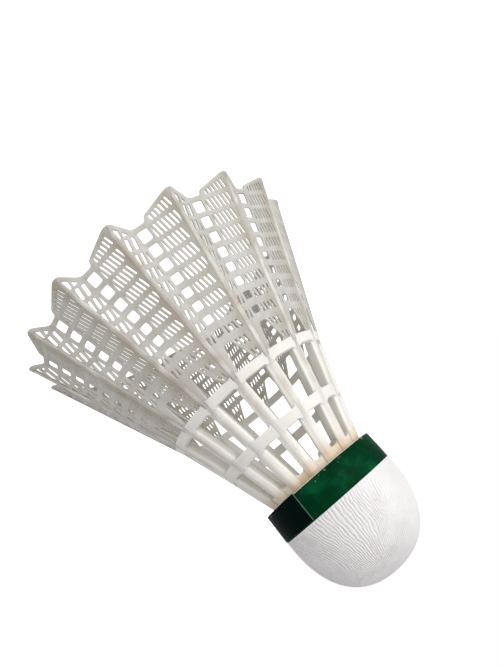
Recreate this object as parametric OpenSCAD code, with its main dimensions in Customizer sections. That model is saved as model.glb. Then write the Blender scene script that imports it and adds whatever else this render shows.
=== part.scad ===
// Badminton shuttlecock of the moulded nylon kind, standing on the tips of its skirt, nose up.
// Millimetres. The origin is the centre of the ring of tips, and +Z runs up the axis to the nose.

/* [Base] */
// Outer diameter of the tape band, the widest part of the base
band_d = 26.2; // [25.6:0.1:27]
// Width of the tape band along the axis
band_w = 5.9; // [5:0.1:7]
// Thickness of the tape band
band_t = 0.3; // [0.2:0.05:0.4]
// Length of the base, from the skirt's edge of the band to the end of the nose
base_len = 22; // [21:0.1:25]
// Squareness of the nose: 2 is an ellipse, more is blunter
nose_power = 2.4; // [2:0.05:2.8]
// Thickness of the cover over the cork
cover_t = 0.5; // [0.4:0.05:0.7]

/* [Skirt] */
// Number of stems, each with its own tip
stem_count = 16; // [16:1:16]
// Height of the band's edge above the tips
skirt_h = 52.9; // [50:0.1:56]
// Radius of the circle on which the tips stand
tip_r = 33.9; // [32.5:0.1:34]
// Radius of the stems' ridges where they enter the band
root_r = 11.1; // [10.8:0.1:11.4]
// Thickness of the net's sheets
net_t = 0.4; // [0.35:0.05:0.5]
// Radius of the net's valleys, as a part of the radius of its ridges
valley_ratio = 0.955; // [0.945:0.005:0.97]

/* [Hoops] */
// Distance from the band to the lower hoop
lower_hoop_gap = 9.2; // [8.8:0.1:9.6]
// Height of the lower hoop
lower_hoop_h = 2.1; // [1.8:0.1:2.3]
// Distance from the band to the upper hoop
upper_hoop_gap = 20.1; // [19.8:0.1:20.4]
// Height of the upper hoop
upper_hoop_h = 1.8; // [1.6:0.1:2]
// Thickness of both hoops
hoop_t = 1; // [0.8:0.1:1.2]

/* [Net openings] */
// Rows of square windows down each sector
window_rows = 8; // [8:1:8]
// Distance along the axis from one row to the next
row_pitch = 2.88; // [2.85:0.01:2.9]
// Height of the windows in the row at the rim
window_h_rim = 1.97; // [1.8:0.01:2]
// Height of the windows in the row by the hoop
window_h_hoop = 1.32; // [1.2:0.01:1.4]
// Width of a slot
slot_w = 0.4; // [0.35:0.05:0.55]
// Distance from one slot to the next on the wide sheet
slot_pitch = 0.86; // [0.82:0.01:1]
// Lean of the slots away from the stem, in degrees
slot_lean = 15; // [10:1:18]

/* [Hidden] */
sector = 360 / stem_count;
two = function (i) i < 10 ? str("0", i) : str(i);

nylon = [0.93, 0.92, 0.88];
total_h = skirt_h + base_len;

// Base: radii under the band, and the leather's edge behind it
band_r = band_d / 2;
seat_r = band_r - band_t;
cover_r = band_r - 0.1;
flange_t = 1;
glue_t = 0.2;
cork_back = skirt_h + flange_t + glue_t;
band_top = skirt_h + band_w;
nose_steps = 24;

// Plug of the skirt inside the cork
plug_r = 8.2;
plug_bore_r = 7.3;
plug_len = 7;
plug_end_t = 0.8;
root_h = 1.8;
root_bore_r = 8.6;

// Ridge line of a stem, as radii at distances from the band towards the rim
hoop_mid_gap = upper_hoop_gap + 0.6;
ridge_slope = (tip_r - 18.8) / (skirt_h - hoop_mid_gap);
ridge = [[0, root_r], [9.95, 14.7], [hoop_mid_gap, 18.8], [skirt_h, tip_r]];
ridge_r = function (gap) lookup(gap, ridge);

// The net's sheets all pass through one point on the axis
apex_h = skirt_h + 18.8 / ridge_slope - hoop_mid_gap;
net_gap = upper_hoop_gap + upper_hoop_h;

// Places across a sector, from 0 at one stem to 1 at the next
strip_from = 0.245;
strip_to = 0.475;
window_from = 0.268;
window_to = 0.444;

// Stem: half widths at its tip, by the upper hoop and in the cage, and how far its ridge stands
// above the sheets, its inner rib below them, and its shoulders and inner side below its ridge.
// The inner side is narrower than the shoulders by the cut.
stem_half_tip = 0.45;
stem_half_net = 0.7;
stem_half_cage = 1.2;
ridge_proud_tip = 0.05;
ridge_proud_net = 0.2;
rib_depth = 0.6;
shoulder_drop = 0.75;
cage_depth = 2.5;
inner_half_cut = 0.8;

// Distances from the band: the rim between the tips, the corner of the wide sheet at the rim, the
// sheets' edge at the tip, the openings inside the tip, the first row, and the big opening's top
rim_gap = 50.6;
corner_gap = 51.45;
tip_gap = skirt_h - 0.12;
tip_slot_gap = 50.15;
first_row_gap = 49.71;
big_top_gap = first_row_gap - window_rows * row_pitch;

// Places across the big opening at its top and by the hoop, and of the rim's corner
big_from = [0.262, 0.17];
big_to = [0.45, 0.72];
corner_place = 0.49;
tip_round = [0.07, skirt_h - 0.3];

// Solid bar beside the windows, and the margins beside a stem on its narrow and wide sheets
bar_w = 0.6;
narrow_margin = 0.1;
wide_margin = 0.4;

unit = function (v) v / norm(v);
mix = function (a, b, t) a + (b - a) * t;

// Direction from the apex down the sheet at place u of a sector, for each unit of height
ray = function (u, ratio) [
    ridge_slope * ratio * cos(sector * u),
    -ridge_slope * ratio * sin(sector * u),
    -1
];

// A sheet between two fold lines: [place, place, ray, ray, across, along, normal]
sheet = function (u0, r0, u1, r1)
    let (d0 = ray(u0, r0), d1 = ray(u1, r1))
    let (across = unit(d1 - d0))
    let (along = unit(d0 - (d0 * across) * across))
    [u0, u1, d0, d1, across, along, cross(across, along)];

narrow_sheet = sheet(0, 1, strip_from, valley_ratio);
strip_sheet = sheet(strip_from, valley_ratio, strip_to, valley_ratio);
wide_sheet = sheet(strip_to, valley_ratio, 1, 1);

// Point of a sheet, in its own plane, at place u and a distance from the band
flat_pt = function (s, u, gap)
    let (h = apex_h - skirt_h + gap, w = (u - s[0]) / (s[1] - s[0]))
    let (v = h * mix(s[2], s[3], w))
    [v * s[4], v * s[5]];

// The same point in space
space_pt = function (s, u, gap)
    let (h = apex_h - skirt_h + gap, w = (u - s[0]) / (s[1] - s[0]))
    [0, 0, apex_h] + h * mix(s[2], s[3], w);

// Half width of a stem in the net, and a width turned into a part of the sector
stem_half = function (gap)
    mix(stem_half_net, stem_half_tip, (gap - net_gap) / (skirt_h - net_gap));
part_of_sector = function (w, gap) w / (ridge_r(gap) * sector * PI / 180);
stem_edge = function (gap) part_of_sector(stem_half(gap), gap);
narrow_slot_edge = function (gap) part_of_sector(stem_half(gap) + narrow_margin, gap);
wide_slot_edge = function (gap) 1 - part_of_sector(stem_half(gap) + wide_margin, gap);
bar = function (gap) part_of_sector(bar_w, gap);

// Edges of the big opening above the hoop, at a distance from the band
big_edge = function (places, gap)
    mix(places[0], places[1], max(0, (big_top_gap - gap) / (big_top_gap - net_gap)));
big_edge_gap = function (places, place)
    mix(big_top_gap, net_gap, (place - places[0]) / (places[1] - places[0]));

// Outlines of the three sheets as [place, distance from the band], run on past the hoop's top
hoop_lap = 0.3;
low_gap = net_gap - hoop_lap;
fold_lap = 0.006;
narrow_outline = [
    [stem_edge(tip_gap), tip_gap],
    tip_round,
    [strip_from, rim_gap],
    [strip_from, big_edge_gap(big_from, strip_from)],
    [big_from[1], net_gap],
    [big_from[1], low_gap],
    [stem_edge(net_gap), low_gap]
];
strip_outline = [
    [strip_from - fold_lap, rim_gap],
    [strip_to + fold_lap, rim_gap],
    [strip_to + fold_lap, big_edge_gap(big_to, strip_to + fold_lap)],
    [big_to[0], big_top_gap],
    [big_from[0], big_top_gap],
    [strip_from - fold_lap, big_edge_gap(big_from, strip_from - fold_lap)]
];
wide_outline = [
    [strip_to, rim_gap],
    [corner_place, corner_gap],
    [1 - stem_edge(tip_gap), tip_gap],
    [1 - stem_edge(net_gap), low_gap],
    [big_to[1], low_gap],
    [big_to[1], net_gap],
    [strip_to, big_edge_gap(big_to, strip_to)]
];
on_sheet = function (s, outline) [for (p = outline) flat_pt(s, p[0], p[1])];

// Rows of windows: the distance of a row's rim edge, and its height
row_gap = function (i) first_row_gap - i * row_pitch;
row_h = function (i) mix(window_h_rim, window_h_hoop, min(i / (window_rows - 1), 1));
slot_row_drop = 0.15;
slot_extra_h = 0.2;
slot_tilt = 0.3;
slot_rows = window_rows + 2;

// A four-sided window: two edge functions of the distance from the band, its two distances,
// and how much lower its second side lies
window = function (s, from, to, gap_a, gap_b, tilt) on_sheet(s, [
    [from(gap_a), gap_a], [to(gap_a), gap_a - tilt], [to(gap_b), gap_b - tilt], [from(gap_b), gap_b]
]);
row_window = function (s, from, to, i, tilt)
    let (gap = row_gap(i) - slot_row_drop)
    window(s, from, to, gap, gap - row_h(i) - slot_extra_h, tilt);

// Convex outline cut by the half plane n * p <= c
cut = function (pts, n, c) [
    if (len(pts) > 2) for (i = [0 : len(pts) - 1])
        let (a = pts[i], b = pts[(i + 1) % len(pts)])
        let (da = n * a - c, db = n * b - c)
        for (p = concat(da <= 0 ? [a] : [], da * db < 0 ? [mix(a, b, da / (da - db))] : [])) p
];
total = function (v) v * [for (x = v) 1];
area = function (pts) len(pts) < 3 ? 0
    : abs(total([for (i = [0 : len(pts) - 1]) cross(pts[i], pts[(i + 1) % len(pts)])])) / 2;

// Slots: a window cut into leaning strips, counted from its stem's side
smallest_slot = 0.15;
wide_slot_kept = 0.25;
most_slots = 8;
slots = function (pts, n, w, pitch, smallest)
    let (first = min([for (p = pts) n * p]))
    [
        for (k = [0 : most_slots])
            let (c = first + k * pitch)
            let (s = cut(cut(pts, n, c + w), -n, -c))
            if (area(s) > smallest) s
    ];

// Direction across the slots, away from their stem; side is 1 where places rise from the stem
across_slots = function (s, stem_place, side)
    let (stem = -unit(flat_pt(s, stem_place, net_gap)), a = -side * slot_lean)
    let (d = [stem.x * cos(a) - stem.y * sin(a), stem.x * sin(a) + stem.y * cos(a)])
    side * [-d.y, d.x];

narrow_slot_w = 0.5;
narrow_slot_pitch = 1.04;
narrow_tip_place = 0.19;
narrow_tip_gap = 51.75;
narrow_window_to = function (gap)
    min(window_from, big_edge(big_from, gap)) - bar(gap);
narrow_slots = [
    for (w = concat(
        [on_sheet(narrow_sheet, [
            [narrow_slot_edge(tip_slot_gap), tip_slot_gap],
            [narrow_tip_place, tip_slot_gap],
            [narrow_slot_edge(narrow_tip_gap), narrow_tip_gap]
        ])],
        [for (i = [0 : window_rows - 1]) row_window(narrow_sheet, narrow_slot_edge, narrow_window_to, i, 0)]
    )) each slots(w, across_slots(narrow_sheet, 0, 1), narrow_slot_w, narrow_slot_pitch, smallest_slot)
];

wide_tip_corner = [0.535, 51];
wide_tip_gap = 52;
wide_window_from = function (gap) max(window_to, big_edge(big_to, gap)) + bar(gap);
wide_tip_window = on_sheet(wide_sheet, [
    [wide_window_from(tip_slot_gap), tip_slot_gap],
    wide_tip_corner,
    [wide_slot_edge(wide_tip_gap), wide_tip_gap],
    [wide_slot_edge(tip_slot_gap), tip_slot_gap]
]);
across_wide = across_slots(wide_sheet, 1, -1);
wide_slots = concat(
    slots(wide_tip_window, across_wide, slot_w, slot_pitch, smallest_slot),
    [
        for (i = [0 : slot_rows - 1])
            let (w = row_window(wide_sheet, wide_window_from, wide_slot_edge, i, slot_tilt))
            each slots(w, across_wide, slot_w, slot_pitch, wide_slot_kept * row_h(i))
    ]
);

// Outline with each corner rounded off by a radius r
rounded = function (pts, r) [
    for (i = [0 : len(pts) - 1])
        let (p = pts[i], n = len(pts))
        let (a = unit(pts[(i + n - 1) % n] - p), b = unit(pts[(i + 1) % n] - p))
        each [p + r * a, p + (1 - sqrt(0.5)) * r * (a + b), p + r * b]
];
window_corner_r = 0.28;
window_left = function (gap) window_from;
window_right = function (gap) window_to;
windows = [
    for (i = [0 : window_rows - 1])
        rounded(
            window(strip_sheet, window_left, window_right, row_gap(i), row_gap(i) - row_h(i), 0),
            window_corner_r
        )
];

// A sheet of the net: its outline with holes, laid in its own plane
module plate(s, outline, holes) {
    rings = concat([on_sheet(s, outline)], holes);
    starts = [for (i = 0, n = 0; i < len(rings); n = n + len(rings[i]), i = i + 1) n];
    paths = [for (i = [0 : len(rings) - 1]) [for (j = [0 : len(rings[i]) - 1]) starts[i] + j]];
    multmatrix([
        [s[4].x, s[5].x, s[6].x, 0],
        [s[4].y, s[5].y, s[6].y, 0],
        [s[4].z, s[5].z, s[6].z, apex_h],
        [0, 0, 0, 1]
    ])
        linear_extrude(height = net_t, center = true)
            polygon([for (r = rings) each r], paths);
}

module net_sector() {
    difference() {
        union() {
            plate(narrow_sheet, narrow_outline, narrow_slots);
            plate(strip_sheet, strip_outline, windows);
            plate(wide_sheet, wide_outline, wide_slots);
        }
        translate([0, 0, skirt_h - net_gap])
            cylinder(r = tip_r, h = 2 * hoop_lap);
    }
}

module net(i) {
    color(nylon)
        rotate([0, 0, -sector * (i - 1)])
            net_sector();
}

// Point at height z on the line where a sheet meets its stem, side t above or below mid sheet
joint_pt = function (s, edge, t, z)
    let (a = space_pt(s, edge(tip_gap), tip_gap) + t * s[6])
    let (b = space_pt(s, edge(net_gap), low_gap) + t * s[6])
    mix(a, b, (z - a.z) / (b.z - a.z));
turn_z = function (p, a) [p.x * cos(a) - p.y * sin(a), p.x * sin(a) + p.y * cos(a), p.z];
far_edge = function (gap) 1 - stem_edge(gap);

// Six-sided sections of a stem: ridge, shoulder, inner side, rib, inner side, shoulder
net_section = function (z, proud) [
    [ridge_r(skirt_h - z) + proud, 0, z],
    joint_pt(narrow_sheet, stem_edge, net_t / 2, z),
    joint_pt(narrow_sheet, stem_edge, -net_t / 2, z),
    [ridge_r(skirt_h - z) - rib_depth, 0, z],
    turn_z(joint_pt(wide_sheet, far_edge, -net_t / 2, z), sector),
    turn_z(joint_pt(wide_sheet, far_edge, net_t / 2, z), sector)
];
cage_section = function (gap)
    let (r = ridge_r(gap), z = skirt_h - gap, inner_half = stem_half_cage - inner_half_cut)
    [
        [r, 0, z],
        [r - shoulder_drop, -stem_half_cage, z],
        [r - cage_depth, -inner_half, z],
        [r - cage_depth, 0, z],
        [r - cage_depth, inner_half, z],
        [r - shoulder_drop, stem_half_cage, z]
    ];
hoop_inset = 0.2;
stem_sections = [
    net_section(0, ridge_proud_tip),
    net_section(skirt_h - net_gap + hoop_inset, ridge_proud_net),
    cage_section(upper_hoop_gap + hoop_inset),
    cage_section(ridge[1][0]),
    cage_section(0)
];

module stem_body() {
    sides = len(stem_sections[0]);
    last = len(stem_sections) - 1;
    walls = [
        for (k = [0 : last - 1])
            for (j = [0 : sides - 1])
                let (a = k * sides + j, b = k * sides + (j + 1) % sides)
                each [[a, b, b + sides], [a, b + sides, a + sides]]
    ];
    tip = [for (j = [sides - 1 : -1 : 0]) j];
    foot = [for (j = [0 : sides - 1]) last * sides + j];
    polyhedron([for (s = stem_sections) each s], concat([tip], [foot], walls));
}

module stem(i) {
    color(nylon)
        rotate([0, 0, -sector * (i - 1)])
            difference() {
                stem_body();
                root_cone();
            }
}

// Low cone of the collar between the roots of the stems
root_drop = 0.9;
module root_cone() {
    translate([0, 0, skirt_h - root_h])
        cylinder(h = root_h, r1 = ridge_r(root_h) - root_drop, r2 = ridge_r(0) - root_drop);
}

// Hoops lie a little below the ridges and stop at the stems
hoop_drop = 0.25;
module hoop(gap, h) {
    outer = [for (g = [gap, gap + h]) [ridge_r(g) - hoop_drop, skirt_h - g]];
    inner = [for (g = [gap + h, gap]) [ridge_r(g) - hoop_drop - hoop_t, skirt_h - g]];
    color(nylon)
        difference() {
            rotate_extrude($fn = 96)
                polygon(concat(outer, inner));
            for (i = [0 : stem_count - 1])
                rotate([0, 0, -sector * i])
                    stem_body();
        }
}
module upper_hoop() {
    hoop(upper_hoop_gap, upper_hoop_h);
}
module lower_hoop() {
    hoop(lower_hoop_gap, lower_hoop_h);
}

// Collar: root cone, flange under the band, and the hollow plug that goes into the cork
module collar() {
    color(nylon)
        difference() {
            union() {
                root_cone();
                translate([0, 0, skirt_h])
                    cylinder(h = flange_t, r = seat_r);
                translate([0, 0, skirt_h])
                    cylinder(h = flange_t + plug_len, r = plug_r);
            }
            translate([0, 0, skirt_h - root_h - 1])
                cylinder(h = root_h + 1, r = root_bore_r);
            translate([0, 0, skirt_h - 1])
                cylinder(h = 1 + flange_t + plug_len - plug_end_t, r = plug_bore_r);
        }
}

// Adhesive: a thin cup round the plug and under the flange
module adhesive() {
    color([0.85, 0.75, 0.5])
        rotate_extrude($fn = 96)
            polygon([
                [plug_r, cork_back - glue_t],
                [seat_r - cover_t, cork_back - glue_t],
                [seat_r - cover_t, cork_back],
                [plug_r + glue_t, cork_back],
                [plug_r + glue_t, cork_back + plug_len],
                [plug_r, cork_back + plug_len - glue_t]
            ]);
}

// Nose outline: a blunt half ellipse from the band's edge to the end, shrunk by inset
nose = function (inset) [
    for (k = [0 : nose_steps])
        let (a = 90 * k / nose_steps, p = 2 / nose_power)
        [(cover_r - inset) * pow(cos(a), p), band_top + (base_len - band_w - inset) * pow(sin(a), p)]
];

module cork() {
    color([0.76, 0.6, 0.42])
        difference() {
            rotate_extrude($fn = 96)
                polygon(concat(
                    [[0, cork_back], [seat_r - cover_t, cork_back], [seat_r - cover_t, band_top]],
                    [for (p = nose(cover_t)) if (p.x > 0.01) p],
                    [[0, total_h - cover_t]]
                ));
            translate([0, 0, cork_back - 1])
                cylinder(h = plug_len + 1, r = plug_r + glue_t);
        }
}

module cover() {
    color([0.96, 0.96, 0.95])
        rotate_extrude($fn = 96)
            polygon(concat(
                [[seat_r - cover_t, cork_back - glue_t], [seat_r, cork_back - glue_t], [seat_r, band_top]],
                [for (p = nose(0)) if (p.x > 0.01) p],
                [[0, total_h], [0, total_h - cover_t]],
                [for (k = [nose_steps - 1 : -1 : 0]) let (p = nose(cover_t)[k]) p],
                [[seat_r - cover_t, band_top]]
            ));
}

module tape_band() {
    color([0, 0.3, 0.16])
        translate([0, 0, skirt_h])
            difference() {
                cylinder(h = band_w, r = band_r);
                translate([0, 0, -1])
                    cylinder(h = band_w + 2, r = seat_r);
            }
}

for (i = [1 : stem_count])
    stem(i);
for (i = [1 : stem_count])
    net(i);
upper_hoop();
lower_hoop();
collar();
adhesive();
cork();
cover();
tape_band();
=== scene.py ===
"""Looks of the moulded nylon shuttlecock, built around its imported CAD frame.

Shapes are worked out in millimetres in the CAD frame and become metres when a mesh is made.
A gap is a distance along the axis from the tape band towards the rim. A place runs across one
sector of the net, from 0 at its stem to 1 at the next.
"""

import math

import bmesh
import bpy
import numpy as np
from mathutils import Matrix, Vector, noise
from mathutils.geometry import delaunay_2d_cdt


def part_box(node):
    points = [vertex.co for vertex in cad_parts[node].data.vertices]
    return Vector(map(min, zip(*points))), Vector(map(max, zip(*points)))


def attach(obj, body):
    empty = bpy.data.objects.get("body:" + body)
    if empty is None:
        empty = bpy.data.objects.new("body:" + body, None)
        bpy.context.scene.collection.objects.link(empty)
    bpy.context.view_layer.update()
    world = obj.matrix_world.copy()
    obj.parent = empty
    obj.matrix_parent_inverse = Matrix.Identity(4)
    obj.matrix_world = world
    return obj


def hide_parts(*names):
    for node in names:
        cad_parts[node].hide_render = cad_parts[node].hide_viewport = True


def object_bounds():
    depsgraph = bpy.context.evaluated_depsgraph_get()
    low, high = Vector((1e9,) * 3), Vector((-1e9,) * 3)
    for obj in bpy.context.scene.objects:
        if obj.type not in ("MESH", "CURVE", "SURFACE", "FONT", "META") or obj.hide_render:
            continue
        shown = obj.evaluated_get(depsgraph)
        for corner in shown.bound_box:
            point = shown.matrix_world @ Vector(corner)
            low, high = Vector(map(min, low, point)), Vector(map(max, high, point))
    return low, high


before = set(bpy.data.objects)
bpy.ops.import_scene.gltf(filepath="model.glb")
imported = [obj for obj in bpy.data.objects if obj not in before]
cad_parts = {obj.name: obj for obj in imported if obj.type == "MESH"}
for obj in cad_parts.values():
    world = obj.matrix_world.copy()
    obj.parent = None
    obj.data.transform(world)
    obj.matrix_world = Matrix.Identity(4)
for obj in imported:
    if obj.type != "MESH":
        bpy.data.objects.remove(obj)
cad_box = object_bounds()

MM = 0.001
STEMS = 16
SECTOR = 2 * math.pi / STEMS


def node_box(name):
    """Lowest and highest corner of a CAD node, in millimetres."""
    return [np.array(corner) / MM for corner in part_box(name)]


band_lo, band_hi = node_box("tape_band")
BAND_R = band_hi[0]
SKIRT_H = band_lo[2]
BAND_TOP = band_hi[2]
NOSE_TOP = cad_box[1].z / MM
UPPER_HOOP = [SKIRT_H - z for z in (node_box("upper_hoop")[1][2], node_box("upper_hoop")[0][2])]
LOWER_HOOP = [SKIRT_H - z for z in (node_box("lower_hoop")[1][2], node_box("lower_hoop")[0][2])]
NET_GAP = UPPER_HOOP[1]

# ---------------------------------------------------------------- skirt surface

# Radius of the stems' ridges, with the straight run of the net as its fourth stretch
RIDGE_GAPS = (-3.0, 0.0, 9.95, 20.7, 52.9, 56.0)
RIDGE_RADII = (10.0, 11.1, 14.7, 18.8, 33.9, 35.35)
RIDGE_SLOPE = (RIDGE_RADII[4] - RIDGE_RADII[3]) / (RIDGE_GAPS[4] - RIDGE_GAPS[3])
APEX_GAP = RIDGE_RADII[3] / RIDGE_SLOPE - RIDGE_GAPS[3]

# Depth of the net's valleys below its ridges
DEPTH_GAPS = (19.0, 22.0, 28.8, 38.7, 48.6, 53.0)
DEPTHS = (0.15, 0.2, 0.5, 1.35, 1.62, 1.7)
# How far the sheets lie under the ridges of the stems
SHEET_DROP = 0.16

# Places of the sheets' fold lines: ridge, valley, valley, ridge
FOLDS = np.array([0.0, 0.245, 0.475, 1.0])
# At each of them: part of the valleys' depth, and slope as a part of the ridges' slope
FOLD_DEPTH = np.array([0.0, 1.0, 1.0, 0.0])
FLAT_RATIO = np.array([1.0, 0.955, 0.955, 1.0])
# A fold is eased over this part of a sector on each side
FOLD_EASE = 0.024


def ridge_r(gap):
    """Radius of the stems' ridges, its bends eased over 2 mm."""
    gap = np.asarray(gap, float)
    return sum(
        weight * np.interp(gap + step, RIDGE_GAPS, RIDGE_RADII)
        for step, weight in ((-1.0, 0.25), (0.0, 0.5), (1.0, 0.25))
    )


def around(radius, angle, z):
    """Points at a radius and an angle round the axis; sectors count clockwise from +X."""
    radius, angle, z = np.broadcast_arrays(radius, angle, z)
    return np.stack([radius * np.cos(angle), -radius * np.sin(angle), z], -1)


def net_point(place, gap):
    """Mid surface of the pleated net, with its two valley folds eased."""
    place, gap = np.broadcast_arrays(np.asarray(place, float), np.asarray(gap, float))
    radius = ridge_r(gap) - SHEET_DROP
    depth = np.interp(gap, DEPTH_GAPS, DEPTHS)
    total = 0
    for step, weight in ((-FOLD_EASE, 0.25), (0.0, 0.5), (FOLD_EASE, 0.25)):
        shifted = place + step
        k = np.clip(np.searchsorted(FOLDS, shifted) - 1, 0, 2)
        w = ((shifted - FOLDS[k]) / (FOLDS[k + 1] - FOLDS[k]))[..., None]
        ends = [
            around(radius - FOLD_DEPTH[j] * depth, FOLDS[j] * SECTOR, SKIRT_H - gap)
            for j in (k, k + 1)
        ]
        total = total + weight * ((1 - w) * ends[0] + w * ends[1])
    return total


def net_normal(place, gap):
    """Outward unit normal of the net's mid surface."""
    across = net_point(place + 0.004, gap) - net_point(place - 0.004, gap)
    along = net_point(place, gap + 0.1) - net_point(place, gap - 0.1)
    n = np.cross(across, along)
    return n / np.linalg.norm(n, axis=-1, keepdims=True)


# The net's flat pattern: the three sheets of a sector unrolled about the skirt's apex
rays = around(RIDGE_SLOPE * FLAT_RATIO, FOLDS * SECTOR, -1.0)
lengths = np.linalg.norm(rays, axis=1)
turns = [math.acos(rays[k] @ rays[k + 1] / lengths[k] / lengths[k + 1]) for k in range(3)]
TURNS = np.concatenate([[0], np.cumsum(turns)])
FLAT_RAYS = lengths[:, None] * np.stack([np.sin(TURNS), np.cos(TURNS)], 1)


def flat(place, gap):
    """Point of the flat pattern."""
    k = min(max(int(np.searchsorted(FOLDS, place)) - 1, 0), 2)
    w = (place - FOLDS[k]) / (FOLDS[k + 1] - FOLDS[k])
    return (APEX_GAP + gap) * ((1 - w) * FLAT_RAYS[k] + w * FLAT_RAYS[k + 1])


def unflat(points):
    """Places and gaps of points of the flat pattern."""
    k = np.clip(np.searchsorted(TURNS, np.arctan2(points[:, 0], points[:, 1])) - 1, 0, 2)
    a, b = FLAT_RAYS[k], FLAT_RAYS[k + 1]
    det = a[:, 0] * b[:, 1] - a[:, 1] * b[:, 0]
    wa = (points[:, 0] * b[:, 1] - points[:, 1] * b[:, 0]) / det
    wb = (a[:, 0] * points[:, 1] - a[:, 1] * points[:, 0]) / det
    height = wa + wb
    return FOLDS[k] + wb / height * (FOLDS[k + 1] - FOLDS[k]), height - APEX_GAP


# ---------------------------------------------------------------- outlines


def unit(v):
    """Vector of length 1 in the same direction."""
    return v / np.linalg.norm(v)


def smooth(x):
    """Eased step from 0 to 1."""
    x = np.clip(x, 0, 1)
    return x * x * (3 - 2 * x)


def rounded(points, radius, steps=2, lead=0.0):
    """Closed outline with its corners rounded; radius is one number or one for each corner.

    A lead puts one more point on each side of a corner, which keeps the run between corners flat.
    """
    points = [np.asarray(p, float) for p in points]
    radii = [radius] * len(points) if np.isscalar(radius) else radius
    made = []
    for k, (p, r) in enumerate(zip(points, radii)):
        before, after = points[k - 1] - p, points[(k + 1) % len(points)] - p
        reach = min(r, 0.46 * np.linalg.norm(before), 0.46 * np.linalg.norm(after))
        a, b = p + reach * unit(before), p + reach * unit(after)
        if lead:
            made.append(a + min(lead, 0.03 * np.linalg.norm(before)) * unit(before))
        for t in np.linspace(0, 1, steps + 1):
            made.append((1 - t) ** 2 * a + 2 * t * (1 - t) * p + t * t * b)
        if lead:
            made.append(b + min(lead, 0.03 * np.linalg.norm(after)) * unit(after))
    return np.array(made)


def cut(points, normal, limit):
    """Convex outline cut back to where normal . point <= limit."""
    kept = []
    for k, a in enumerate(points):
        b = points[(k + 1) % len(points)]
        da, db = normal @ a - limit, normal @ b - limit
        if da <= 0:
            kept.append(a)
        if da * db < 0:
            kept.append(a + (b - a) * da / (da - db))
    return kept


def area(points):
    """Signed area of an outline."""
    p = np.asarray(points)
    q = np.roll(p, -1, 0)
    return 0.5 * float(np.sum(p[:, 0] * q[:, 1] - p[:, 1] * q[:, 0])) if len(p) > 2 else 0.0


def offset(points, distance):
    """Outline moved to its left by a distance, which is inwards where it runs anticlockwise."""
    edges = np.roll(points, -1, 0) - points
    normals = np.stack([-edges[:, 1], edges[:, 0]], 1)
    normals /= np.linalg.norm(normals, axis=1, keepdims=True)
    miter = normals + np.roll(normals, 1, 0)
    miter /= np.maximum(np.sum(miter * miter, 1, keepdims=True) / 2, 0.5)
    return points + distance * miter


# ---------------------------------------------------------------- net openings

WINDOW_ROWS = 8
SLOT_ROWS = 10
FIRST_ROW_GAP = 49.71
ROW_PITCH = 2.88
WINDOW_H = (1.97, 1.32)
WINDOW_PLACES = (0.268, 0.444)
SLOT_ROW_DROP = 0.15
SLOT_EXTRA_H = 0.2
SLOT_TILT = 0.3
SLOT_LEAN = math.radians(15)
SLOT_CORNER_R = 0.18
MOST_SLOTS = 9
# Narrow and wide slots as (start, width, pitch), across them
TIP_SLOTS = (0.0, 0.85, 1.4)
FIRST_NARROW_SLOTS = (0.55, 0.62, 1.3)
NARROW_SLOTS = (0.0, 0.46, 1.04)
WIDE_SLOTS = (0.05, 0.35, 0.86)
# A strip smaller than this is left solid; on the wide sheet the limit is for each mm of its row
SMALLEST_SLOT = 0.2
SMALLEST_WIDE_SLOT = 0.22
WIDE_MARGIN = 0.37
WINDOW_CORNER_R = 0.36
RIM_GAP = 50.6
CORNER = (0.49, 51.45)
TIP_GAP = 52.83
TIP_SLOT_GAP = 50.15
NARROW_TIP_GAPS = (49.9, 51.8)
NARROW_TIP = ((0.165, 50.2), (0.08, 51.35), (0.055, 51.62))
WIDE_TIP = (0.535, 51.0)
WIDE_TIP_GAP = 52.0
BIG_TOP_GAP = FIRST_ROW_GAP - WINDOW_ROWS * ROW_PITCH
BIG_FROM = (0.262, 0.17)
BIG_TO = (0.45, 0.72)
BAR_W = 0.6
STEM_HALF = (0.6, 0.42)


def stem_half(gap):
    """Half width of a stem in the net."""
    return np.interp(gap, (NET_GAP, SKIRT_H), STEM_HALF)


def part(width, gap):
    """A width as a part of the sector."""
    return width / (ridge_r(gap) * SECTOR)


def big_edge(places, gap):
    """Side of the big opening above the hoop."""
    return np.interp(gap, (NET_GAP, BIG_TOP_GAP), (places[1], places[0]))


def row_gap(row):
    """Gap of a row's edge on the rim's side."""
    return FIRST_ROW_GAP - row * ROW_PITCH


def row_h(row):
    """Height of the windows of a row."""
    return np.interp(row, (0, WINDOW_ROWS - 1), WINDOW_H)


def narrow_edge(gap):
    """Place where the narrow sheet's slots begin, beside their stem."""
    return part(stem_half(gap), gap)


def narrow_far(gap):
    """Place where the narrow sheet's slots end, beside the windows."""
    return min(WINDOW_PLACES[0], big_edge(BIG_FROM, gap)) - part(BAR_W, gap)


def wide_edge(gap):
    """Place where the wide sheet's slots begin, beside the next stem."""
    return 1 - part(stem_half(gap) + WIDE_MARGIN, gap)


def wide_far(gap):
    """Place where the wide sheet's slots end, beside the windows."""
    return max(WINDOW_PLACES[1], big_edge(BIG_TO, gap)) + part(BAR_W, gap)


def slot_window(near, far, row, tilt):
    """Four-sided window, which slots are cut from, between two edges; a tilt lowers the near one."""
    top = row_gap(row) - SLOT_ROW_DROP
    low = top - row_h(row) - SLOT_EXTRA_H
    corners = [(near(top), top - tilt), (far(top), top), (far(low), low), (near(low), low - tilt)]
    return [flat(*c) for c in corners]


def slots(window, across, spacing, smallest):
    """A window cut into strips; spacing is (distance of the first from its edge, width, pitch)."""
    start, width, pitch = spacing
    first = min(across @ p for p in window) + start
    made = []
    for k in range(MOST_SLOTS):
        side = first + k * pitch
        strip = cut(cut(window, across, side + width), -across, -side)
        if abs(area(strip)) > smallest:
            made.append(rounded(strip, SLOT_CORNER_R))
    return made


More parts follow.
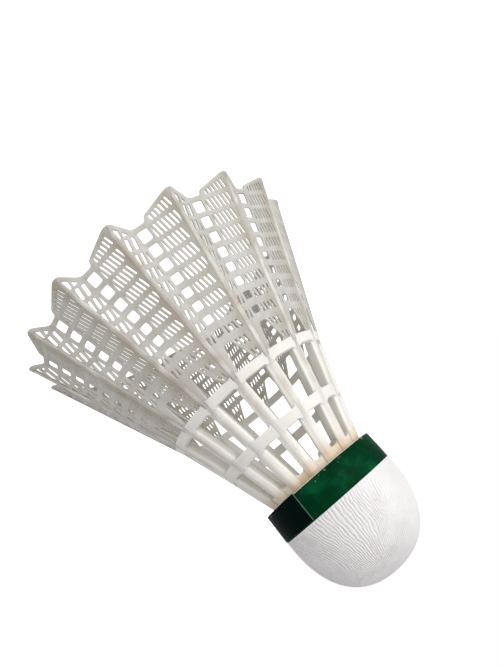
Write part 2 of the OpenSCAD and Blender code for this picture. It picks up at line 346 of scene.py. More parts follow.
def across_slots(stem_ray, side):
    """Direction across the slots; side is -1 where places rise from their stem."""
    x, y = -unit(stem_ray)
    turn = side * SLOT_LEAN
    c, s = math.cos(turn), math.sin(turn)
    x, y = x * c - y * s, x * s + y * c
    return side * np.array([-y, x])


def square_window(row):
    """Outline of the square window of a row."""
    top, low = row_gap(row), row_gap(row) - row_h(row)
    left, right = WINDOW_PLACES
    corners = [flat(left, top), flat(right, top), flat(right, low), flat(left, low)]
    return rounded(corners, WINDOW_CORNER_R, 4)


def narrow_slots():
    """Slots of the narrow sheet: those in the tip, then row by row."""
    across = across_slots(FLAT_RAYS[0], -1)
    low, high = NARROW_TIP_GAPS
    tip = [flat(narrow_edge(low), low), *(flat(*c) for c in NARROW_TIP), flat(narrow_edge(high), high)]
    made = slots(tip, across, TIP_SLOTS, SMALLEST_SLOT)
    for row in range(WINDOW_ROWS):
        window = slot_window(narrow_edge, narrow_far, row, 0)
        made += slots(window, across, NARROW_SLOTS if row else FIRST_NARROW_SLOTS, SMALLEST_SLOT)
    return made


def wide_slots():
    """Slots of the wide sheet: those in the tip, then row by row."""
    across = across_slots(FLAT_RAYS[3], 1)
    tip = [
        flat(wide_far(TIP_SLOT_GAP), TIP_SLOT_GAP),
        flat(*WIDE_TIP),
        flat(wide_edge(WIDE_TIP_GAP), WIDE_TIP_GAP),
        flat(wide_edge(TIP_SLOT_GAP), TIP_SLOT_GAP),
    ]
    made = slots(tip, across, WIDE_SLOTS, SMALLEST_SLOT)
    for row in range(SLOT_ROWS):
        window = slot_window(wide_edge, wide_far, row, SLOT_TILT)
        made += slots(window, across, WIDE_SLOTS, SMALLEST_WIDE_SLOT * row_h(row))
    return made


def net_openings():
    """Outlines of every opening of a sector, on its flat pattern."""
    return [square_window(row) for row in range(WINDOW_ROWS)] + narrow_slots() + wide_slots()


def net_outline():
    """Edge of a sector's sheet, which runs on under the stems and the upper hoop."""
    low = NET_GAP - 0.9
    in_stem = part(0.3 * stem_half(low), low)
    corners = [
        (0.0, TIP_GAP, 0.3),
        (0.055, TIP_GAP, 0.5),
        (FOLDS[1] - 0.005, RIM_GAP, 0.9),
        (FOLDS[2], RIM_GAP, 0.5),
        (CORNER[0] + 0.01, CORNER[1], 0.7),
        (0.93, TIP_GAP, 0.8),
        (1.0, TIP_GAP, 0.3),
        (1 - in_stem, low, 0.3),
        (BIG_TO[1] + 0.01, low, 0.3),
        (BIG_TO[1], NET_GAP, 0.3),
        (BIG_TO[0], BIG_TOP_GAP, 0.45),
        (BIG_FROM[0], BIG_TOP_GAP, 0.45),
        (BIG_FROM[1], NET_GAP, 0.3),
        (BIG_FROM[1] - 0.01, low, 0.3),
        (in_stem, low, 0.3),
    ]
    return rounded([flat(c[0], c[1]) for c in corners], [c[2] for c in corners], 3)


# Section of a sheet's edge, as (height, setback), from its inner face to its outer face
EDGE = np.array([(-0.2, 0.11), (-0.17, 0.035), (-0.09, 0.0), (0.09, 0.0), (0.17, 0.035), (0.2, 0.11)])
# How much thicker the sheet gets along its rim, as a part of its thickness
RIM_BEAD = 0.55
# Places where the sheet is cut beside its folds, so that it can bend there
BEND_PLACES = (0.22, 0.238, 0.252, 0.27, 0.45, 0.468, 0.482, 0.5)
BEND_ROWS = 12


def slab(outer, holes):
    """Closed mesh of a flat sheet with holes and softly rounded edges."""
    rings = [outer if area(outer) > 0 else outer[::-1]]
    rings += [h if area(h) < 0 else h[::-1] for h in holes]
    levels = []
    for height, setback in EDGE:
        level = [offset(r, setback) for r in rings]
        levels.append(np.array([(x, y, height) for r in level for x, y in r]))
    starts = np.cumsum([0] + [len(r) for r in rings])
    count = int(starts[-1])
    loops = [[int(s) + j for j in range(len(r))] for s, r in zip(starts, rings)]
    ring_edges = [(a, b) for loop in loops for a, b in zip(loop, loop[1:] + loop[:1])]
    cap = levels[0][:, :2]
    vecs, _, tris, origin, _, _ = delaunay_2d_cdt([Vector(p) for p in cap], ring_edges, [], 1, 1e-7)
    faces = []
    centres = np.array([np.mean([vecs[v] for v in t], 0) for t in tris])
    in_hole = np.zeros(len(tris), bool)
    for loop in loops[1:]:
        in_hole |= inside(centres, cap[loop])
    source = [o[0] for o in origin]
    for t, hidden in zip(tris, in_hole):
        if hidden:
            continue
        face = [source[v] for v in t]
        if area(cap[face]) < 0:
            face = face[::-1]
        faces.append([v + (len(EDGE) - 1) * count for v in face])
        faces.append(face[::-1])
    for level in range(len(EDGE) - 1):
        a, b = level * count, (level + 1) * count
        faces += [[a + i, a + j, b + j, b + i] for i, j in ring_edges]
    return np.concatenate(levels), faces


def inside(points, loop):
    """Which points lie inside a closed outline."""
    found = np.zeros(len(points), bool)
    x, y = points[:, 0], points[:, 1]
    for a, b in zip(loop, np.roll(loop, -1, 0)):
        crosses = (a[1] > y) != (b[1] > y)
        if a[1] != b[1]:
            found ^= crosses & (x < (b[0] - a[0]) * (y - a[1]) / (b[1] - a[1]) + a[0])
    return found


def net_mesh():
    """Vertices, faces, places and gaps of one sector of the net, beside the stem on +X."""
    outline = net_outline()
    verts, faces = slab(outline, net_openings())
    bm = bmesh.new()
    made = [bm.verts.new(v) for v in verts]
    for f in faces:
        bm.faces.new([made[v] for v in f])
    for bend in BEND_PLACES:
        x, y = flat(bend, 30.0)
        bisect(bm, (0, 0, 0), (y, -x, 0))
    for y in np.linspace(flat(0.3, NET_GAP)[1], flat(0.3, RIM_GAP)[1], BEND_ROWS):
        bisect(bm, (0, y, 0), (0, 1, 0))
    bm.verts.ensure_lookup_table()
    co = np.array([v.co for v in bm.verts])
    place, gap = unflat(co)
    rim = [unflat(outline[k:k + 1]) for k in range(len(outline))]
    rim = sorted((float(p[0]), float(g[0])) for p, g in rim if g[0] > RIM_GAP - 0.3)
    to_rim = np.interp(place, *zip(*rim)) - gap
    bead = 1 + RIM_BEAD * smooth(1.6 - to_rim / 0.7)
    world = net_point(place, gap) + (bead * co[:, 2])[:, None] * net_normal(place, gap)
    shape = world, [[v.index for v in f.verts] for f in bm.faces], place, gap
    bm.free()
    return shape


def bisect(bm, point, normal):
    """Cuts every face along a plane, so that the sheet can bend there."""
    geometry = bm.verts[:] + bm.edges[:] + bm.faces[:]
    bmesh.ops.bisect_plane(bm, geom=geometry, dist=1e-5, plane_co=point, plane_no=normal)
    bm.verts.index_update()


# ---------------------------------------------------------------- stems, hoops and collar

# Half section of a stem in the net and in the cage, as (half width, height above the ridge line)
NET_SECTION = np.array([(0.5, 0.05), (1.0, -0.08), (1.0, -0.4), (0.5, -0.7)])
CAGE_SECTION = np.array([(0.28, 0.02), (1.15, -0.45), (1.2, -0.75), (0.7, -2.5)])
# A stem's rounded end: distances below its tip, and the scale of its section there
STEM_TIP = ((0.04, 0.5), (0.1, 0.75), (0.22, 0.9), (0.45, 1.0))
# Steps round a hoop or the collar from one stem to the next
RING_STEPS = 24


def loft(rings):
    """Mesh over rings of the same number of points, closed at both ends."""
    n = len(rings[0])
    faces = [list(range(n))[::-1], [(len(rings) - 1) * n + j for j in range(n)]]
    for k in range(len(rings) - 1):
        for j in range(n):
            a, b = k * n + j, k * n + (j + 1) % n
            faces.append([a, b, b + n, a + n])
    return np.concatenate(rings), faces


def stem_section(gap):
    """Section of a stem as (sideways, height) points, for a distance from the band."""
    in_cage = float(smooth((NET_GAP + 1.2 - gap) / 3.2))
    net = NET_SECTION * [stem_half(gap), 1.0]
    half = (1 - in_cage) * net + in_cage * CAGE_SECTION
    whole = np.concatenate([half, half[::-1] * [-1, 1]])
    return rounded(whole, 0.12, 3, 0.04)


def stem_mesh():
    """Vertices, faces and gaps of the stem on +X, from its rounded tip to its root in the collar."""
    gaps = [(SKIRT_H - below, scale) for below, scale in STEM_TIP]
    gaps += [(g, 1.0) for g in np.arange(SKIRT_H - 1.5, NET_GAP + 2.5, -1.5)]
    gaps += [(g, 1.0) for g in np.arange(NET_GAP + 2.0, UPPER_HOOP[0] - 2.0, -0.35)]
    gaps += [(g, 1.0) for g in np.linspace(UPPER_HOOP[0] - 2.2, 0.0, 18)]
    rings = []
    for gap, scale in gaps:
        section = stem_section(gap)
        section = section - [0, 0.22 * float(smooth((gap - SKIRT_H + 1.6) / 1.0))]
        centre = np.array([0, -0.3])
        section = centre + (section - centre) * scale
        rings.append(np.stack([
            ridge_r(gap) + section[:, 1], section[:, 0], np.full(len(section), SKIRT_H - gap)
        ], 1))
    verts, faces = loft(rings)
    return verts, faces, np.repeat([g for g, _ in gaps], len(rings[0]))


def to_stem(angle):
    """Angle to the nearest ridge."""
    turned = np.mod(angle, SECTOR)
    return np.minimum(turned, SECTOR - turned)


def fillet(angle, radius, half, size):
    """How far an edge runs out beside a stem, for a rounded corner between the two."""
    away = to_stem(angle) * radius - half
    t = np.clip(away / size, 0, 1)
    return size * (1 - np.sqrt(1 - (1 - t) ** 2))


def ring_mesh(section, steps):
    """Closed ring of one section for each angle; section(angle) gives (radius, z) points."""
    angles = np.linspace(0, 2 * math.pi, STEMS * steps, endpoint=False)
    rings = [around(s[:, 0], a, s[:, 1]) for a in angles for s in [section(a)]]
    n, m = len(rings[0]), len(rings)
    faces = [
        [k * n + (j + 1) % n, k * n + j, (k + 1) % m * n + j, (k + 1) % m * n + (j + 1) % n]
        for k in range(m) for j in range(n)
    ]
    return np.concatenate(rings), faces


def hoop_mesh(span, drop, thick, size_rim, size_band):
    """A hoop between two gaps, with its edges run out in small fillets beside the stems."""
    def section(angle):
        radius = ridge_r(span[0])
        low = span[0] - fillet(angle, radius, 1.05, size_band)
        high = span[1] + fillet(angle, radius, 0.7, size_rim)
        outer = [(ridge_r(g) - drop, SKIRT_H - g) for g in (low, high)]
        inner = [(r - thick, z) for r, z in reversed(outer)]
        return rounded(outer + inner, 0.14, 3, 0.04)
    return ring_mesh(section, RING_STEPS)


# ---------------------------------------------------------------- pieces


def piece(name, verts, faces, material, slot, nodes, sharp=40, tint=None):
    """A mesh object that rides on the body and stands for CAD nodes."""
    mesh = bpy.data.meshes.new(name)
    mesh.from_pydata((np.asarray(verts) * MM).tolist(), [], faces)
    mesh.validate()
    if tint is not None:
        values = mesh.attributes.new("tint", "FLOAT", "POINT")
        values.data.foreach_set("value", np.asarray(tint, np.float32))
    mesh.shade_smooth()
    mesh.set_sharp_from_angle(angle=math.radians(sharp))
    obj = bpy.data.objects.new(name, mesh)
    bpy.context.scene.collection.objects.link(obj)
    mesh.materials.append(material)
    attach(obj, "root")
    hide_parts(*nodes)
    return obj


def turned(verts, k):
    """Points turned on to sector k."""
    angle = -SECTOR * k
    c, s = math.cos(angle), math.sin(angle)
    return verts @ np.array([[c, s, 0], [-s, c, 0], [0, 0, 1]])


# ---------------------------------------------------------------- materials


def new_material(name):
    """A material, its nodes, its links and its shader node."""
    material = bpy.data.materials.new(name)
    material.use_nodes = True
    nodes = material.node_tree.nodes
    return material, nodes, material.node_tree.links, nodes["Principled BSDF"]


def add(nodes, kind, **values):
    """A node with its properties and inputs set; an input's name has _ for a space."""
    made = nodes.new(kind)
    for key, value in values.items():
        if hasattr(made, key):
            setattr(made, key, value)
        else:
            made.inputs[key.replace("_", " ")].default_value = value
    return made


def ramp(nodes, links, source, stops):
    """Colour ramp over (position, colour) stops."""
    made = nodes.new("ShaderNodeValToRGB")
    elements = made.color_ramp.elements
    while len(elements) < len(stops):
        elements.new(0.5)
    for element, (at, colour) in zip(elements, stops):
        element.position = at
        element.color = (*colour, 1) if len(colour) == 3 else colour
    links.new(source, made.inputs["Fac"])
    return made.outputs["Color"]


def grey(v):
    """A grey colour."""
    return (v, v, v)


def noise_at(nodes, links, place, kind, **values):
    """A texture node that is fed a position."""
    made = add(nodes, kind, **values)
    links.new(place, made.inputs["Vector"])
    return made


def mixed(nodes, links, factor, under):
    """A colour mix node over a colour; its second colour is still to be set."""
    made = add(nodes, "ShaderNodeMix", data_type="RGBA", blend_type="MIX")
    links.new(factor, made.inputs["Factor"])
    links.new(under, made.inputs["A"])
    return made


def bumped(nodes, links, shader, source, strength, distance):
    """Fine relief of a shader from the heights of a texture."""
    made = add(nodes, "ShaderNodeBump", Strength=strength, Distance=distance)
    links.new(source, made.inputs["Height"])
    links.new(made.outputs["Normal"], shader.inputs["Normal"])


def height_of(nodes, links, place, low, high):
    """Height of a position: 0 at one level and 1 at another, both in millimetres."""
    split = add(nodes, "ShaderNodeSeparateXYZ")
    links.new(place, split.inputs[0])
    made = add(nodes, "ShaderNodeMath", operation="MULTIPLY_ADD")
    links.new(split.outputs["Z"], made.inputs[0])
    made.inputs[1].default_value = 1 / (MM * (high - low))
    made.inputs[2].default_value = -low / (high - low)
    return made.outputs[0]


def times(nodes, links, a, b):
    """Product of two values."""
    made = add(nodes, "ShaderNodeMath", operation="MULTIPLY")
    links.new(a, made.inputs[0])
    links.new(b, made.inputs[1])
    return made.outputs[0]


def nylon_material(name, depth, shades):
    """Nylon: faint mottling, brown where the attribute says (on the nets partly painted shade) and tan by
    the band, fine flow marks.
    """
    material, nodes, links, shader = new_material(name)
    place = add(nodes, "ShaderNodeNewGeometry").outputs["Position"]
    mottle = noise_at(nodes, links, place, "ShaderNodeTexNoise", Scale=160.0, Detail=4.0, Roughness=0.6)
    base = ramp(nodes, links, mottle.outputs["Fac"], list(zip((0.3, 0.5, 0.72), shades)))
    tint = add(nodes, "ShaderNodeAttribute", attribute_name="tint")
    patch_noise = noise_at(nodes, links, place, "ShaderNodeTexNoise", Scale=210.0, Detail=3.0)
    patchy = ramp(nodes, links, patch_noise.outputs["Fac"], [(0.36, grey(0.35)), (0.6, grey(1.0))])
    # Brown is mixed in where the tint attribute says; on the nets this brown is partly painted shade.
    brown_and_shade = mixed(nodes, links, times(nodes, links, patchy, tint.outputs["Fac"]), base)
    height = height_of(nodes, links, place, 0.0, SKIRT_H)
    brown = ramp(nodes, links, height, [(0.9, (0.37, 0.32, 0.26)), (0.97, (0.62, 0.47, 0.30))])
    links.new(brown, brown_and_shade.inputs["B"])
    links.new(brown_and_shade.outputs["Result"], shader.inputs["Base Color"])
    fine = noise_at(nodes, links, place, "ShaderNodeTexNoise", Scale=900.0, Detail=3.0)
    rough = ramp(nodes, links, fine.outputs["Fac"], [(0.3, grey(0.42)), (0.7, grey(0.6))])
    links.new(rough, shader.inputs["Roughness"])
    bumped(nodes, links, shader, fine.outputs["Fac"], 0.25, 0.00005)
    shader.inputs["Subsurface Weight"].default_value = 0.6
    shader.inputs["Subsurface Radius"].default_value = (1.0, 0.9, 0.75)
    shader.inputs["Subsurface Scale"].default_value = depth
    shader.inputs["Specular IOR Level"].default_value = 0.35
    return material


def tape_material():
    """Dark green tape with smudges; painted shade makes it near black where it overlaps, a painted
    highlight lightens its far end, and painted glints speck its skirt-side edge.
    """
    material, nodes, links, shader = new_material("green_tape")
    place = add(nodes, "ShaderNodeNewGeometry").outputs["Position"]
    cloud = noise_at(nodes, links, place, "ShaderNodeTexNoise", Scale=260.0, Detail=5.0, Roughness=0.6)
    colour = ramp(nodes, links, cloud.outputs["Fac"], [
        (0.3, (0.0, 0.022, 0.007)), (0.52, (0.0, 0.034, 0.011)), (0.75, (0.002, 0.08, 0.03)),
    ])
    lap = add(nodes, "ShaderNodeAttribute", attribute_name="tint").outputs["Fac"]
    # Painted shade: where the strip laps over its start it is darkened to near black.
    dark = ramp(nodes, links, lap, [(0.0, grey(0.0)), (0.5, grey(1.0))])
    # Painted highlight: the strip's far end is lightened to a pale green.
    pale = ramp(nodes, links, lap, [(0.6, grey(0.0)), (0.9, grey(1.0))])
    fine = noise_at(nodes, links, place, "ShaderNodeTexNoise", Scale=1400.0, Detail=4.0)
    # Painted glints: light specks, kept below to a strip by the skirt-side edge.
    painted_glint = ramp(nodes, links, fine.outputs["Fac"], [(0.655, grey(0.0)), (0.70, grey(0.8))])
    height = height_of(nodes, links, place, SKIRT_H, BAND_TOP)
    near_edge = ramp(nodes, links, height, [(0.02, grey(0.0)), (0.06, grey(1.0)), (0.2, grey(0.0))])
    for factor, over in (
        (dark, (0.0, 0.005, 0.004, 1)),
        (pale, (0.10, 0.19, 0.14, 1)),
        (times(nodes, links, near_edge, painted_glint), (0.45, 0.6, 0.5, 1)),
    ):
        layer = mixed(nodes, links, factor, colour)
        layer.inputs["B"].default_value = over
        colour = layer.outputs["Result"]
    links.new(colour, shader.inputs["Base Color"])
    rough = ramp(nodes, links, fine.outputs["Fac"], [(0.35, grey(0.38)), (0.7, grey(0.5))])
    links.new(rough, shader.inputs["Roughness"])
    bumped(nodes, links, shader, cloud.outputs["Fac"], 0.2, 0.00004)
    shader.inputs["Specular IOR Level"].default_value = 0.02
    return material


def leather_material():
    """White leather: pale mottling, painted shade in the valleys of its pleats, pores."""
    material, nodes, links, shader = new_material("white_leather")
    place = add(nodes, "ShaderNodeNewGeometry").outputs["Position"]
    cloud = noise_at(nodes, links, place, "ShaderNodeTexNoise", Scale=120.0, Detail=4.0)
    base = ramp(nodes, links, cloud.outputs["Fac"], [
        (0.3, (0.73, 0.71, 0.71)), (0.6, (0.78, 0.76, 0.76)), (0.8, (0.81, 0.795, 0.79)),
    ])
    # Painted shade: the tint attribute greys the pleats' valleys.
    valley = add(nodes, "ShaderNodeAttribute", attribute_name="tint")
    painted_crease_shade = mixed(nodes, links, valley.outputs["Fac"], base)
    painted_crease_shade.inputs["B"].default_value = (0.36, 0.33, 0.34, 1)
    links.new(painted_crease_shade.outputs["Result"], shader.inputs["Base Color"])
    pores = noise_at(nodes, links, place, "ShaderNodeTexVoronoi", Scale=2600.0)
    rough = ramp(nodes, links, pores.outputs["Distance"], [(0.1, grey(0.62)), (0.6, grey(0.5))])
    links.new(rough, shader.inputs["Roughness"])
    bumped(nodes, links, shader, pores.outputs["Distance"], 0.3, 0.00004)
    shader.inputs["Subsurface Weight"].default_value = 0.05
    shader.inputs["Subsurface Radius"].default_value = (1.0, 0.9, 0.8)
    shader.inputs["Subsurface Scale"].default_value = 0.0004
    return material


def cork_material():
    """Cork: tan grains with dark pits."""
    material, nodes, links, shader = new_material("cork_grain")
    place = add(nodes, "ShaderNodeNewGeometry").outputs["Position"]
    grains = noise_at(nodes, links, place, "ShaderNodeTexVoronoi", Scale=700.0, feature="F1")
    base = ramp(nodes, links, grains.outputs["Distance"], [
        (0.1, (0.52, 0.34, 0.18)), (0.5, (0.44, 0.27, 0.13)), (0.9, (0.2, 0.11, 0.05)),
    ])
    links.new(base, shader.inputs["Base Color"])
    bumped(nodes, links, shader, grains.outputs["Distance"], 0.5, 0.0001)
    shader.inputs["Roughness"].default_value = 0.85
    return material


def glue_material():
    """Hardened amber adhesive with a rippled surface."""
    material, nodes, links, shader = new_material("amber_adhesive")
    place = add(nodes, "ShaderNodeNewGeometry").outputs["Position"]
    ripple = noise_at(nodes, links, place, "ShaderNodeTexNoise", Scale=400.0, Detail=3.0)
    base = ramp(nodes, links, ripple.outputs["Fac"], [
        (0.35, (0.55, 0.42, 0.2)), (0.7, (0.7, 0.58, 0.34)),
    ])
    links.new(base, shader.inputs["Base Color"])
    bumped(nodes, links, shader, ripple.outputs["Fac"], 0.4, 0.0001)
    shader.inputs["Roughness"].default_value = 0.3
    return material


NYLON = nylon_material("nylon_thick", 0.001, ((0.76, 0.74, 0.69), (0.82, 0.80, 0.76), (0.87, 0.855, 0.825)))
NET = nylon_material("nylon_thin", 0.002, ((0.45, 0.43, 0.40), (0.51, 0.495, 0.465), (0.57, 0.555, 0.53)))
TAPE = tape_material()
LEATHER = leather_material()
CORK = cork_material()
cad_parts["adhesive"].data.materials.clear()
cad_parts["adhesive"].data.materials.append(glue_material())

# ---------------------------------------------------------------- skirt pieces


def numbered(name, k):
    """Name of the k-th of the repeated pieces, counted from 01."""
    return f"{name}_{k + 1:02d}"


def near_band(gap):
    """Tan tint of the nylon close to the band."""
    return 0.8 * smooth((4.5 - gap) / 4.0)


net_verts, net_faces, net_place, net_gap_of = net_mesh()
sector_w = SECTOR * ridge_r(net_gap_of)
# Brown patches and painted shade on the net: darker beside its stem, and more over the wide sheet towards
# the next stem.
net_brown_and_shade = np.maximum(
    0.3 * smooth((1.4 - net_place * sector_w) / 1.0),
    0.7 * smooth((4.2 - (1 - net_place) * sector_w) / 3.6),
)
stem_verts, stem_faces, stem_gap = stem_mesh()
crown = smooth((stem_verts[:, 0] - ridge_r(stem_gap) + 0.35) / 0.4)
stem_tint = np.maximum(crown * np.interp(stem_gap, (4, 12, 24), (0.3, 0.4, 0.75)), near_band(stem_gap))
for k in range(STEMS):
    piece(numbered("net_sheet", k), turned(net_verts, k), net_faces, NET, "nylon",
          [numbered("net", k)], tint=net_brown_and_shade)
    piece(numbered("stem_bar", k), turned(stem_verts, k), stem_faces, NYLON, "nylon",
          [numbered("stem", k)], tint=stem_tint)

for name, span, sizes in (
    ("upper_hoop", UPPER_HOOP, (0.3, 0.4)),
    ("lower_hoop", LOWER_HOOP, (0.4, 0.4)),
):
    verts, faces = hoop_mesh(span, 0.03, 1.2, *sizes)
    piece(name + "_ring", verts, faces, NYLON, "nylon", [name], tint=np.full(len(verts), 0.05))

SEAT_R = BAND_R - 0.3
FLANGE_T = 1.0
PLUG_R = 8.2
PLUG_BORE_R = 7.3
PLUG_TOP = SKIRT_H + 8.0
ROOT_BORE_R = 8.6
ROOT_H = 1.9


def collar_section(angle):
    """Half section of the collar, from the plug's end down its outside and up its bore."""
    reach = ROOT_H + fillet(angle, 11.5, 1.05, 0.9)
    low = SKIRT_H - reach
    corners = [
        (0.3, PLUG_TOP, 0.02), (PLUG_R, PLUG_TOP, 0.4), (PLUG_R, SKIRT_H + FLANGE_T, 0.1),
        (SEAT_R, SKIRT_H + FLANGE_T, 0.1), (SEAT_R, SKIRT_H, 0.15), (ridge_r(0.0) - 0.55, SKIRT_H, 0.1),
        (ridge_r(reach) - 0.75, low, 0.4), (ROOT_BORE_R, low, 0.25), (ROOT_BORE_R, SKIRT_H - 0.8, 0.4),
        (PLUG_BORE_R, SKIRT_H + 0.3, 0.5), (PLUG_BORE_R, PLUG_TOP - 0.8, 0.5),
        (0.3, PLUG_TOP - 0.8, 0.02),
    ]
    return rounded([c[:2] for c in corners], [c[2] for c in corners], 3)


verts, faces = ring_mesh(collar_section, RING_STEPS)
piece("collar_ring", verts, faces, NYLON, "nylon", ["collar"], tint=near_band(SKIRT_H - verts[:, 2]))

# ---------------------------------------------------------------- base

COVER_R = BAND_R - 0.1
COVER_T = 0.5
NOSE_LEN = NOSE_TOP - BAND_TOP
NOSE_POWER = 2.4


def lathe(profile, segments):
    """Closed surface of revolution; profile runs from the axis to the axis as (radius, z)."""
    angles = np.linspace(0, 2 * math.pi, segments, endpoint=False)
    rings = [around(r, angles, z) for r, z in profile[1:-1]]
    n, last = segments, (len(rings) - 1) * segments
    verts = np.concatenate([*rings, [[0, 0, profile[0][1]], [0, 0, profile[-1][1]]]])
    start, end = len(verts) - 2, len(verts) - 1
    faces = []
    for j in range(n):
        faces.append([start, j, (j + 1) % n])
        faces.append([end, last + (j + 1) % n, last + j])
        for k in range(len(rings) - 1):
            a, b = k * n + j, k * n + (j + 1) % n
            faces.append([b, a, a + n, b + n])
    return verts, faces


def nose(inset, steps):
    """Outline of the nose from the band's edge to its end, shrunk by an inset."""
    angle = np.linspace(0, math.pi / 2, steps + 1)[:-1]
    power = 2 / NOSE_POWER
    r = (COVER_R - inset) * np.cos(angle) ** power
    z = BAND_TOP + (NOSE_LEN - inset) * np.sin(angle) ** power
    return list(zip(r, z))


def cork_mesh():
    """Cork core, from the bottom of its blind hole round to its nose, just clear of the cover."""
    back, hole_top = node_box("cork")[0][2], node_box("adhesive")[1][2]
    hole_r = PLUG_R + back - SKIRT_H - FLANGE_T
    inset = COVER_T + 0.03
    profile = [(0.0, hole_top), (hole_r, hole_top), (hole_r, back), (SEAT_R - inset, back)]
    return lathe(profile + nose(inset, 48) + [(0.0, NOSE_TOP - inset)], 192)


piece("cork_core", *cork_mesh(), CORK, "cork", ["cork"])

PLEATS = 71
PLEAT_DEPTH = 0.15
# Where round the base the leather is gathered most, as an angle from +X
GATHERED_AT = -0.8
# Down the nose the pleats draw together towards one side
PINCH = 0.8
PINCH_AT = -1.4
# Round the base they lie closer on one side and wider apart on the other
SPREAD = 0.3
FINEST_AT = 2.8
# Each sway bends the pleats: how fast it changes over a millimetre, and how far it reaches
SWAYS = ((0.15, 9.0), (0.62, 2.0), (1.9, 0.8))


def pleat_back(p):
    """0 in the sharp valley between two pleats and 1 on a round back; they run along the axis."""
    turn = math.atan2(p[1], p[0])
    down = (p[2] - BAND_TOP) / NOSE_LEN
    pinch = PINCH * down * math.sin(turn - PINCH_AT) * (0.5 + 0.5 * math.cos(turn - PINCH_AT)) ** 2
    phase = PLEATS * (turn + pinch + SPREAD * math.sin(turn - FINEST_AT))
    for rate, reach in SWAYS:
        phase += reach * noise.noise(p * rate)
    return abs(math.sin(phase))


def gathering(p):
    """How strongly the leather is gathered: most on one side, least near the nose's end."""
    down = (p[2] - BAND_TOP) / NOSE_LEN
    side = 0.5 + 0.5 * math.cos(math.atan2(p[1], p[0]) - GATHERED_AT)
    patch = (0.68 + 0.3 * noise.noise(p * 0.16)) * (0.8 + 0.5 * noise.noise(p * 0.4))
    strength = (0.35 + 0.95 * side ** 1.5) * 1.6 * patch
    return float(np.clip(strength * smooth(down / 0.02) * smooth((1.0 - down) / 0.25), 0, 1))


def cover_mesh():
    """Leather cover whose pleats run from the band towards the nose, and its tint of painted shade in their
    valleys.
    """
    around_it, along_it = 1180, 110
    tuck = [(0.0, NOSE_TOP - COVER_T)] + nose(COVER_T, 24)[::-1]
    back = SKIRT_H + FLANGE_T + 0.05
    tuck += [(SEAT_R - COVER_T, BAND_TOP - 0.2), (SEAT_R - COVER_T, back), (SEAT_R, back)]
    tuck += [(SEAT_R, BAND_TOP - 0.5), (SEAT_R + 0.02, BAND_TOP - 0.1)]
    skin = nose(0.0, along_it)
    verts, faces = lathe(tuck + skin + [(0.0, NOSE_TOP)], around_it)
    skin_from = (len(tuck) - 1) * around_it
    tint = np.zeros(len(verts))
    for i in range(skin_from, skin_from + len(skin) * around_it):
        p = Vector(verts[i])
        strength, valley = gathering(p), 1 - pleat_back(p)
        verts[i] -= PLEAT_DEPTH * strength * valley * unit(verts[i] - [0, 0, BAND_TOP - 2.0])
        # Painted shade: the valleys are greyed, more where the leather is gathered most.
        tint[i] = 0.9 * strength * max(2.5 * valley - 1.5, 0)
    return verts, faces, tint


verts, faces, leather_crease_shade = cover_mesh()
piece("cover_skin", verts, faces, LEATHER, "cover", ["cover"], sharp=60, tint=leather_crease_shade)

# The tape runs once round the base and laps over its own start; the lap's end, and its length
LAP_END = math.radians(65.5)
LAP = math.radians(57.0)
TAPE_T = 0.16


def tape_mesh():
    """One strip wound round the base, its far end raised over its start, and its tint of painted shade over
    the lap and a painted highlight at the far end.
    """
    first = LAP_END - LAP
    step_at = first + 2 * math.pi
    end = step_at + LAP
    climb = np.linspace(step_at - 0.03, step_at + 0.03, 9)
    angles = np.sort(np.concatenate([np.linspace(first, end, 420), climb, [end - 0.010, end - 0.006]]))
    rings = []
    layers = smooth((angles - step_at + 0.03) / 0.06)
    for angle, over in zip(angles, layers):
        round_it = Vector((math.cos(angle), math.sin(angle), 0.5))
        inner = SEAT_R + over * TAPE_T * 0.85 + 0.015 * noise.noise(round_it * 4)
        outer = inner + TAPE_T
        edge = 0.03 * noise.noise(round_it * 9) - 0.28 * over
        low, high = SKIRT_H + edge + 0.15, BAND_TOP + edge - 0.03
        section = rounded([(inner, low), (outer, low), (outer, high), (inner, high)], 0.05, 2)
        rings.append(around(section[:, 0], angle, section[:, 1]))
    verts, faces = loft(rings)
    # The tint paints shade over the lap (0.5) and a highlight along the far end (1.0).
    tint = np.where(angles > end - 0.008, 1.0, 0.5 * layers)
    return verts, faces, np.repeat(tint, len(rings[0]))


verts, faces, tape_shade_and_highlight = tape_mesh()
piece("tape_strip", verts, faces, TAPE, "tape", ["tape_band"], sharp=50, tint=tape_shade_and_highlight)

# ---------------------------------------------------------------- stage, light and camera


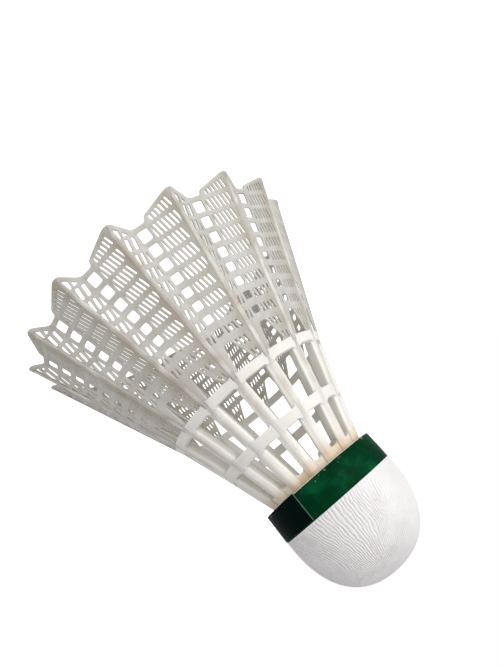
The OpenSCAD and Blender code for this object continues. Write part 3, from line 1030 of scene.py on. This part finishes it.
def stage_floor():
    """A white floor at the rim's height, which lights the object less than it shows."""
    mesh = bpy.data.meshes.new("floor")
    half = 4.0
    corners = [(-half, -half, 0), (half, -half, 0), (half, half, 0), (-half, half, 0)]
    mesh.from_pydata(corners, [], [[0, 1, 2, 3]])
    obj = bpy.data.objects.new("floor", mesh)
    bpy.context.scene.collection.objects.link(obj)
    material = bpy.data.materials.new("pale_floor")
    material.use_nodes = True
    nodes, links = material.node_tree.nodes, material.node_tree.links
    nodes.clear()
    matt = add(nodes, "ShaderNodeBsdfDiffuse", Color=(0.85, 0.85, 0.85, 1))
    faint = add(nodes, "ShaderNodeEmission", Strength=0.2)
    lit = nodes.new("ShaderNodeAddShader")
    links.new(matt.outputs[0], lit.inputs[0])
    links.new(faint.outputs[0], lit.inputs[1])
    glow = add(nodes, "ShaderNodeEmission", Strength=0.85)
    shown = nodes.new("ShaderNodeAddShader")
    links.new(lit.outputs[0], shown.inputs[0])
    links.new(glow.outputs[0], shown.inputs[1])
    ray = nodes.new("ShaderNodeLightPath")
    mix = nodes.new("ShaderNodeMixShader")
    out = nodes.new("ShaderNodeOutputMaterial")
    links.new(ray.outputs["Is Camera Ray"], mix.inputs[0])
    links.new(lit.outputs[0], mix.inputs[1])
    links.new(shown.outputs[0], mix.inputs[2])
    links.new(mix.outputs[0], out.inputs["Surface"])
    mesh.materials.append(material)


def soft_world():
    """A white world, which lights the object less than it shows."""
    world = bpy.data.worlds.new("studio")
    bpy.context.scene.world = world
    world.use_nodes = True
    nodes, links = world.node_tree.nodes, world.node_tree.links
    nodes.clear()
    seen = add(nodes, "ShaderNodeBackground", Strength=1.0)
    seen.inputs["Color"].default_value = (1, 1, 1, 1)
    light = add(nodes, "ShaderNodeBackground", Strength=0.55)
    light.inputs["Color"].default_value = (1, 1, 1, 1)
    ray = nodes.new("ShaderNodeLightPath")
    mix = nodes.new("ShaderNodeMixShader")
    out = nodes.new("ShaderNodeOutputWorld")
    links.new(ray.outputs["Is Camera Ray"], mix.inputs[0])
    links.new(light.outputs[0], mix.inputs[1])
    links.new(seen.outputs[0], mix.inputs[2])
    links.new(mix.outputs[0], out.inputs["Surface"])


def area_light(name, place, size, power):
    """A square soft light that faces the object's middle."""
    data = bpy.data.lights.new(name, "AREA")
    data.size = size
    data.energy = power
    obj = bpy.data.objects.new(name, data)
    bpy.context.scene.collection.objects.link(obj)
    obj.location = place
    obj.rotation_euler = (Vector((0, 0, 0.04)) - Vector(place)).to_track_quat("-Z", "Y").to_euler()


def make_camera():
    """Camera with the view of the photo: close to the skirt, rolled so that the nose points down."""
    data = bpy.data.cameras.new("camera")
    data.lens = 28.70
    data.sensor_width = 36.0
    data.clip_start = 0.005
    data.clip_end = 50.0
    obj = bpy.data.objects.new("camera", data)
    bpy.context.scene.collection.objects.link(obj)
    right = Vector((-0.76221, 0.15909, 0.62747))
    up = Vector((-0.64502, -0.26832, -0.71551))
    back = Vector((0.05453, -0.95010, 0.30713))
    obj.matrix_world = Matrix.LocRotScale(
        Vector((-0.002087, -0.111237, 0.056778)),
        Matrix((right, up, back)).transposed(),
        None,
    )
    bpy.context.scene.camera = obj


stage_floor()
soft_world()
area_light("key", (-0.42, -0.42, 0.12), 0.5, 3.2)
make_camera()
bpy.context.scene.view_settings.view_transform = "Standard"
